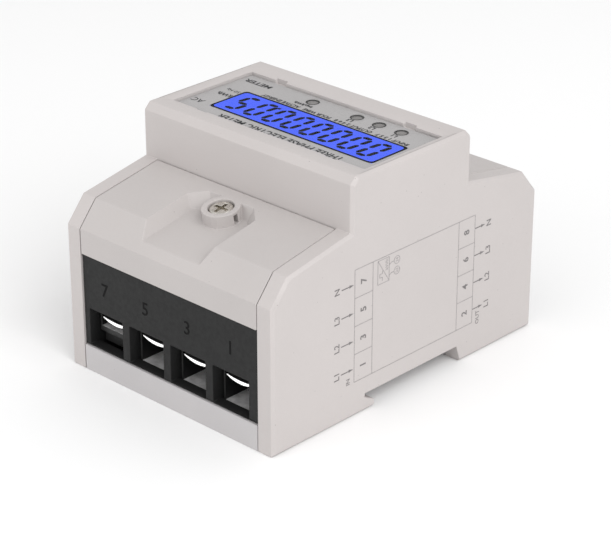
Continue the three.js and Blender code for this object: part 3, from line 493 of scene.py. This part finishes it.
class Artwork:
    """Thin solid shapes just above one flat face, placed from an origin in it."""

    def __init__(self, origin, right, up, thickness=INK_THICKNESS):
        self.right, self.up = Vector(right), Vector(up)
        self.normal = self.right.cross(self.up)
        self.origin = Vector(origin) + self.normal * INK_LIFT * MM
        self.thickness = thickness
        self.bm = bmesh.new()

    def corners(self, outline, height=0.0):
        above = self.normal * height
        return [self.bm.verts.new(self.origin + (self.right * u + self.up * v + above) * MM)
                for u, v in outline]

    def polygon(self, outline):
        """A filled convex outline, anticlockwise to the reader."""
        low, high = self.corners(outline), self.corners(outline, self.thickness)
        self.bm.faces.new(high)
        self.bm.faces.new(low[::-1])
        for i in range(len(low)):
            self.bm.faces.new((low[i - 1], low[i], high[i], high[i - 1]))

    def band(self, outer, inner):
        """The strip between two outlines with the same number of corners, both anticlockwise."""
        low_out, low_in = self.corners(outer), self.corners(inner)
        high_out, high_in = self.corners(outer, self.thickness), self.corners(inner, self.thickness)
        for i in range(len(outer)):
            self.bm.faces.new((low_out[i - 1], low_out[i], high_out[i], high_out[i - 1]))
            self.bm.faces.new((low_in[i], low_in[i - 1], high_in[i - 1], high_in[i]))
            self.bm.faces.new((high_out[i - 1], high_out[i], high_in[i], high_in[i - 1]))
            self.bm.faces.new((low_out[i], low_out[i - 1], low_in[i - 1], low_in[i]))

    def line(self, start, end, width):
        a, b = Vector(start), Vector(end)
        aside = (b - a).orthogonal().normalized() * (width / 2)
        self.polygon([tuple(corner) for corner in (a - aside, a + aside, b + aside, b - aside)][::-1])

    def path(self, points, width):
        for start, end in zip(points, points[1:]):
            self.line(start, end, width)

    def rectangle(self, low, high, width):
        self.path([low, (high[0], low[1]), high, (low[0], high[1]), low], width)

    def circle(self, centre, radius, width):
        rims = []
        for size in (radius, radius - width):
            turns = (2 * math.pi * i / CIRCLE_SIDES for i in range(CIRCLE_SIDES))
            rims.append([(centre[0] + size * math.cos(t), centre[1] + size * math.sin(t)) for t in turns])
        self.band(*rims)

    def lettering(self, words, u, v, height, align="LEFT", weight=0.0, length=None):
        """A line of type on the base line v, with capitals of this height, stretched to any length given."""
        curve = bpy.data.curves.new("lettering", "FONT")
        curve.body, curve.size, curve.align_x = words, height / CAPITAL_SHARE, align
        curve.extrude, curve.offset, curve.resolution_u = self.thickness / 2, weight, 2
        mesh = bpy.data.meshes.new_from_object(bpy.data.objects.new("lettering", curve))
        wide = max(corner.co.x for corner in mesh.vertices) if length else 1.0
        stretch = Matrix.Diagonal((length / wide if length else 1.0, 1.0, 1.0, 1.0))
        basis = Matrix((self.right, self.up, self.normal)).transposed().to_4x4()
        place = Matrix.Translation((u, v, self.thickness / 2))
        mesh.transform(Matrix.Translation(self.origin) @ basis @ Matrix.Scale(MM, 4) @ place @ stretch)
        self.bm.from_mesh(mesh)

    def finish(self, name, paint, slot):
        bmesh.ops.remove_doubles(self.bm, verts=self.bm.verts, dist=SAME_POINT)
        mesh = bpy.data.meshes.new(name)
        self.bm.to_mesh(mesh)
        self.bm.free()
        mesh.materials.append(paint)
        made = link(bpy.data.objects.new(name, mesh))
        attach(made, CASE_BODY)


def label_sheet_art(thickness=INK_THICKNESS):
    """Artwork on the face under the window, read from the outgoing end."""
    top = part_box("faceplate")[1].z
    return Artwork((0, 0, top), (-1, 0, 0), (0, -1, 0), thickness)


def rounded(low, high, radius):
    """An anticlockwise rectangle with round corners."""
    outline = []
    for i, (side, end) in enumerate(((1, -1), (1, 1), (-1, 1), (-1, -1))):
        u = (high[0] - radius) if side > 0 else (low[0] + radius)
        v = (high[1] - radius) if end > 0 else (low[1] + radius)
        for step in range(CORNER_STEPS + 1):
            turn = math.radians(-90 + 90 * i + 90 * step / CORNER_STEPS)
            outline.append((u + radius * math.cos(turn), v + radius * math.sin(turn)))
    return outline


def shrunk(low, high, by):
    return (low[0] + by, low[1] + by), (high[0] - by, high[1] - by)


# The display, in millimetres: its print grows past the panel by the frame's overhang.
DISPLAY_FRAME = {"overhang": 0.4, "width": 0.6, "outer_radius": 1.1, "inner_radius": 1.2, "thickness": 0.06}
READING = "00000005"
SEGMENTS = {"0": "abcdef", "5": "acdfg"}
DIGIT = {"pitch": 6.59, "width": 3.5, "height": 8.8, "stroke": 1.3, "slant": 0.11, "gap": 0.24}
DOT = {"after": 6, "back": 0.2, "up": 0.1, "width": 1.0, "height": 0.9, "slant": 0.1}

# The rings round each lamp: radius, width and thickness.
LAMPS = ("led_pulse", "led_l1", "led_l2", "led_l3")
LAMP_SURROUND, LAMP_COLLAR = (1.9, 0.4, 0.04), (2.3, 0.4, 0.02)


def segment_outline(name, centre):
    """One bar of a seven-segment digit with pointed ends, leaning with the digit."""
    half_w, half_h = DIGIT["width"] / 2, DIGIT["height"] / 2
    ends = {
        "a": ((-half_w, half_h), (half_w, half_h)), "b": ((half_w, 0), (half_w, half_h)),
        "c": ((half_w, -half_h), (half_w, 0)), "d": ((-half_w, -half_h), (half_w, -half_h)),
        "e": ((-half_w, -half_h), (-half_w, 0)), "f": ((-half_w, 0), (-half_w, half_h)),
        "g": ((-half_w, 0), (half_w, 0)),
    }[name]
    start, end = Vector(ends[0]), Vector(ends[1])
    along = (end - start).normalized()
    start, end = start + along * DIGIT["gap"], end - along * DIGIT["gap"]
    aside = Vector((-along.y, along.x)) * DIGIT["stroke"] / 2
    nose = along * DIGIT["stroke"] / 2
    outline = [start, start + nose - aside, end - nose - aside,
               end, end - nose + aside, start + nose + aside]
    return [(centre[0] + p.x + DIGIT["slant"] * p.y, centre[1] + p.y) for p in outline]


def print_display():
    """The dark frame round the liquid crystal, and the digits and point that it shows."""
    low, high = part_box("lcd_panel")
    reader_low, reader_high = (-high.x / MM, -high.y / MM), (-low.x / MM, -low.y / MM)
    outer = shrunk(reader_low, reader_high, -DISPLAY_FRAME["overhang"])
    inner = shrunk(*outer, DISPLAY_FRAME["width"])
    ring = label_sheet_art(DISPLAY_FRAME["thickness"])
    ring.band(rounded(*outer, DISPLAY_FRAME["outer_radius"]), rounded(*inner, DISPLAY_FRAME["inner_radius"]))
    ring.finish("lcd_frame_print", INK["segments"], "black_resin")

    middle_v = (reader_low[1] + reader_high[1]) / 2
    first_u = (reader_low[0] + reader_high[0]) / 2 - DIGIT["pitch"] * (len(READING) - 1) / 2
    digits = label_sheet_art()
    for i, digit in enumerate(READING):
        for name in SEGMENTS[digit]:
            digits.polygon(segment_outline(name, (first_u + DIGIT["pitch"] * i, middle_v)))
    dot_u = first_u + DIGIT["pitch"] * (DOT["after"] - 0.5) - DOT["back"]
    dot_v = middle_v - DIGIT["height"] / 2 + DOT["up"]
    top_u, top_v = dot_u + DOT["slant"], dot_v + DOT["height"]
    width = DOT["width"]
    digits.polygon([(dot_u, dot_v), (dot_u + width, dot_v), (top_u + width, top_v), (top_u, top_v)])
    digits.finish("lcd_digits", INK["segments"], "black_resin")


def ring_lamps():
    """A dark surround and a paler collar round each lamp."""
    rings = (
        ("lamp_surrounds", LAMP_SURROUND, INK["washer"], "black_resin"),
        ("lamp_collars", LAMP_COLLAR, MATERIALS["label_sheet"], "label_sheet"),
    )
    for piece, (radius, width, thickness), paint, slot in rings:
        art = label_sheet_art(thickness)
        for name in LAMPS:
            art.circle(lamp_spot(name), radius, width)
        art.finish(piece, paint, slot)


def lamp_spot(name):
    """A lamp's centre in the reader's millimetres."""
    low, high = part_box(name)
    return -(low.x + high.x) / 2 / MM, -(low.y + high.y) / 2 / MM


PHASES = ("L1", "L2", "L3", "N")

# Wording on the label: words, place, height of capitals, weight, and the length it is drawn to.
LABEL_LINES = (
    ("THREE PHASE ELECTRIC METER", (-24.5, 11.35), 2.3, 0.06, 43.5),
    ("INPUT 1 3 5 7   OUTPUT 2 4 6 8   FOUR WIRE   ACTIVE ENERGY", (-30.1, -6.35), 1.35, 0.06, 51.0),
    ("kWh", (25.9, 0.1), 1.8, 0.06, None),
    ("50 Hz", (26.2, -3.1), 1.4, 0.0, None),
    ("AC", (28.6, 7.6), 2.2, 0.0, None),
    ("METER", (22.6, -11.6), 1.9, 0.06, 9.6),
)
PULSE_WORDING = {"words": "imp/kWh", "left": 2.4, "v": -8.5, "height": 1.2, "weight": 0.05}
PHASE_WORDING = {"v": -8.75, "height": 1.5, "weight": 0.05}


def print_label():
    """Generic wording on the label: what the meter is, its units and which lamp is which."""
    art = label_sheet_art()
    for words, (u, v), height, weight, length in LABEL_LINES:
        art.lettering(words, u, v, height, weight=weight, length=length)
    pulse, phase = PULSE_WORDING, PHASE_WORDING
    pulse_u = lamp_spot("led_pulse")[0] - pulse["left"]
    art.lettering(pulse["words"], pulse_u, pulse["v"], pulse["height"], weight=pulse["weight"])
    for name in PHASES[:-1]:
        lamp_u = lamp_spot("led_" + name.lower())[0]
        art.lettering(name, lamp_u, phase["v"], phase["height"], "CENTER", phase["weight"])
    art.finish("label_print", INK["label"], "label_sheet")


# The wiring diagram: a box of two rows of cells, with the incoming row above.
DIAGRAM = {"low": (9.9, -24.7), "high": (40.95, 21.1), "rows": (-18.3, 14.5), "cell": 7.76, "line": 0.2}
ARROW = {"width": 0.28, "head": 1.6, "half_head": 0.42, "in": (25.9, 21.5), "out": (-24.8, -28.8)}
# The base lines of each row's numbers, phase letters and end word, then the capitals' height and weight.
NUMBER_TYPE = {"v": {"in": 16.9, "out": -22.4}, "height": 2.1, "weight": 0.06}
PHASE_TYPE = {"v": {"in": 26.6, "out": -31.2}, "height": 1.9, "weight": 0.02}
END_TYPE = {"v": {"in": 22.7, "out": -27.5}, "height": 1.4, "right": 0.9}


def print_side():
    """The wiring diagram on the right side wall, read with the incoming end upwards."""
    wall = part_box("front_housing")[1].x
    lines, words = (Artwork((wall, 0, 0), (0, 0, 1), (0, -1, 0)) for _ in range(2))
    low, high, rows, thin = (DIAGRAM[key] for key in ("low", "high", "rows", "line"))
    lines.rectangle(low, high, thin)
    for v in rows:
        lines.line((low[0], v), (high[0], v), thin)
    for i in range(1, len(PHASES)):
        u = low[0] + DIAGRAM["cell"] * i
        lines.line((u, low[1]), (u, rows[0]), thin)
        lines.line((u, rows[1]), (u, high[1]), thin)
    for row, first in (("in", 1), ("out", 2)):
        for i, phase in enumerate(PHASES):
            u = low[0] + DIAGRAM["cell"] * (i + 0.5)
            for text, kind in ((str(2 * i + first), NUMBER_TYPE), (phase, PHASE_TYPE)):
                words.lettering(text, u, kind["v"][row], kind["height"], "CENTER", kind["weight"])
            draw_arrow(words, u, *ARROW[row])
        end_u = low[0] + END_TYPE["right"]
        words.lettering(row.upper(), end_u, END_TYPE["v"][row], END_TYPE["height"], "CENTER")
    pulse_symbol(lines)
    lines.finish("wiring_lines_right", INK["side_line"], "black_resin")
    words.finish("wiring_words_right", INK["side"], "black_resin")


def draw_arrow(art, u, tail, head):
    neck = head + ARROW["head"]
    art.line((u, tail), (u, neck), ARROW["width"])
    art.polygon([(u - ARROW["half_head"], neck), (u, head), (u + ARROW["half_head"], neck)])


# The pulse output's sign, with the step of the pulse given from the box's low corner.
PULSE_BOX = {"low": (33.9, 8.5), "high": (40.4, 12.7), "line": 0.18}
PULSE_STEP = ((0.7, 2.5), (1.7, 2.5), (1.7, 3.5), (2.7, 3.5), (2.7, 2.5), (3.5, 2.5))
PULSE_UNIT = {"words": "kWh", "at": (3.1, 0.4), "height": 1.1}
PULSE_TERMINALS = {"23": 35.7, "24": 38.6}
PULSE_RING = {"v": 5.6, "radius": 1.15, "type_v": 5.15, "height": 0.95}
PULSE_LEAD = {"from": 6.75, "bend": 7.7, "back": 0.5}


def pulse_symbol(art):
    """The sign for the pulse output: a halved box with a pulse and a unit, and its two terminals."""
    low, high, thin = PULSE_BOX["low"], PULSE_BOX["high"], PULSE_BOX["line"]
    art.rectangle(low, high, thin)
    art.line(low, high, thin)
    art.path([(low[0] + u, low[1] + v) for u, v in PULSE_STEP], thin)
    unit_u, unit_v = PULSE_UNIT["at"]
    art.lettering(PULSE_UNIT["words"], low[0] + unit_u, low[1] + unit_v, PULSE_UNIT["height"])
    for number, u in PULSE_TERMINALS.items():
        art.circle((u, PULSE_RING["v"]), PULSE_RING["radius"], thin)
        art.lettering(number, u, PULSE_RING["type_v"], PULSE_RING["height"], "CENTER")
        art.path([(u, PULSE_LEAD["from"]), (u, PULSE_LEAD["bend"]), (u - PULSE_LEAD["back"], low[1])], thin)


NUMERAL = {"v": 23.2, "height": 3.8, "thickness": 0.05, "weight": 0.03}
TERMINALS_PER_END = 4


def mould_numerals(end, first):
    """The terminal numbers on one black end panel, above the wire windows."""
    side = -1 if end == "in" else 1
    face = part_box(f"terminal_block_{end}")[0 if end == "in" else 1].y
    art = Artwork((0, face, 0), (-side, 0, 0), (0, 0, 1), NUMERAL["thickness"])
    for number in range(first, first + 2 * TERMINALS_PER_END, 2):
        low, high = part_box(f"terminal_cage_{number}")
        middle_u = -side * (low.x + high.x) / 2 / MM
        art.lettering(str(number), middle_u, NUMERAL["v"], NUMERAL["height"], "CENTER", NUMERAL["weight"])
    # The numerals' darker ink is painted shade for engraved numbers.
    art.finish(f"numerals_{end}", INK["moulded"], "black_plastic")


# The latch's coil: its wire's radius, its turns and the steps in a turn.
COIL = {"wire": 0.22 * MM, "turns": 7, "steps": 20}


def coil_latch_spring():
    """A wound wire spring in place of the plain cylinder that stands for it in the CAD."""
    low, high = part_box("latch_spring")
    wire, turns, steps = COIL["wire"], COIL["turns"], COIL["steps"]
    centre_x, centre_z = (low.x + high.x) / 2, (low.z + high.z) / 2
    radius = (high.z - low.z) / 2 - wire
    curve = bpy.data.curves.new("latch_coil", "CURVE")
    curve.dimensions, curve.bevel_depth = "3D", wire
    curve.bevel_resolution, curve.use_fill_caps = 3, True
    spline = curve.splines.new("POLY")
    spline.points.add(turns * steps)
    for i, point in enumerate(spline.points):
        turn = 2 * math.pi * i / steps
        along = low.y + wire + (high.y - low.y - 2 * wire) * i / (turns * steps)
        point.co = (centre_x + radius * math.cos(turn), along, centre_z + radius * math.sin(turn), 1.0)
    mesh = bpy.data.meshes.new_from_object(bpy.data.objects.new("latch_coil", curve))
    mesh.name = "latch_coil"
    mesh.materials.clear()
    mesh.materials.append(MATERIALS["spring_steel"])
    for face in mesh.polygons:
        face.use_smooth = True
    coil = link(bpy.data.objects.new("latch_coil", mesh))
    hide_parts("latch_spring")
    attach(coil, CASE_BODY)
    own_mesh(coil)


dress_cad_nodes()
print_display()
ring_lamps()
print_label()
print_side()
mould_numerals("in", 1)
mould_numerals("out", 2)
coil_latch_spring()
light_scene()
place_camera()
lay_floor()
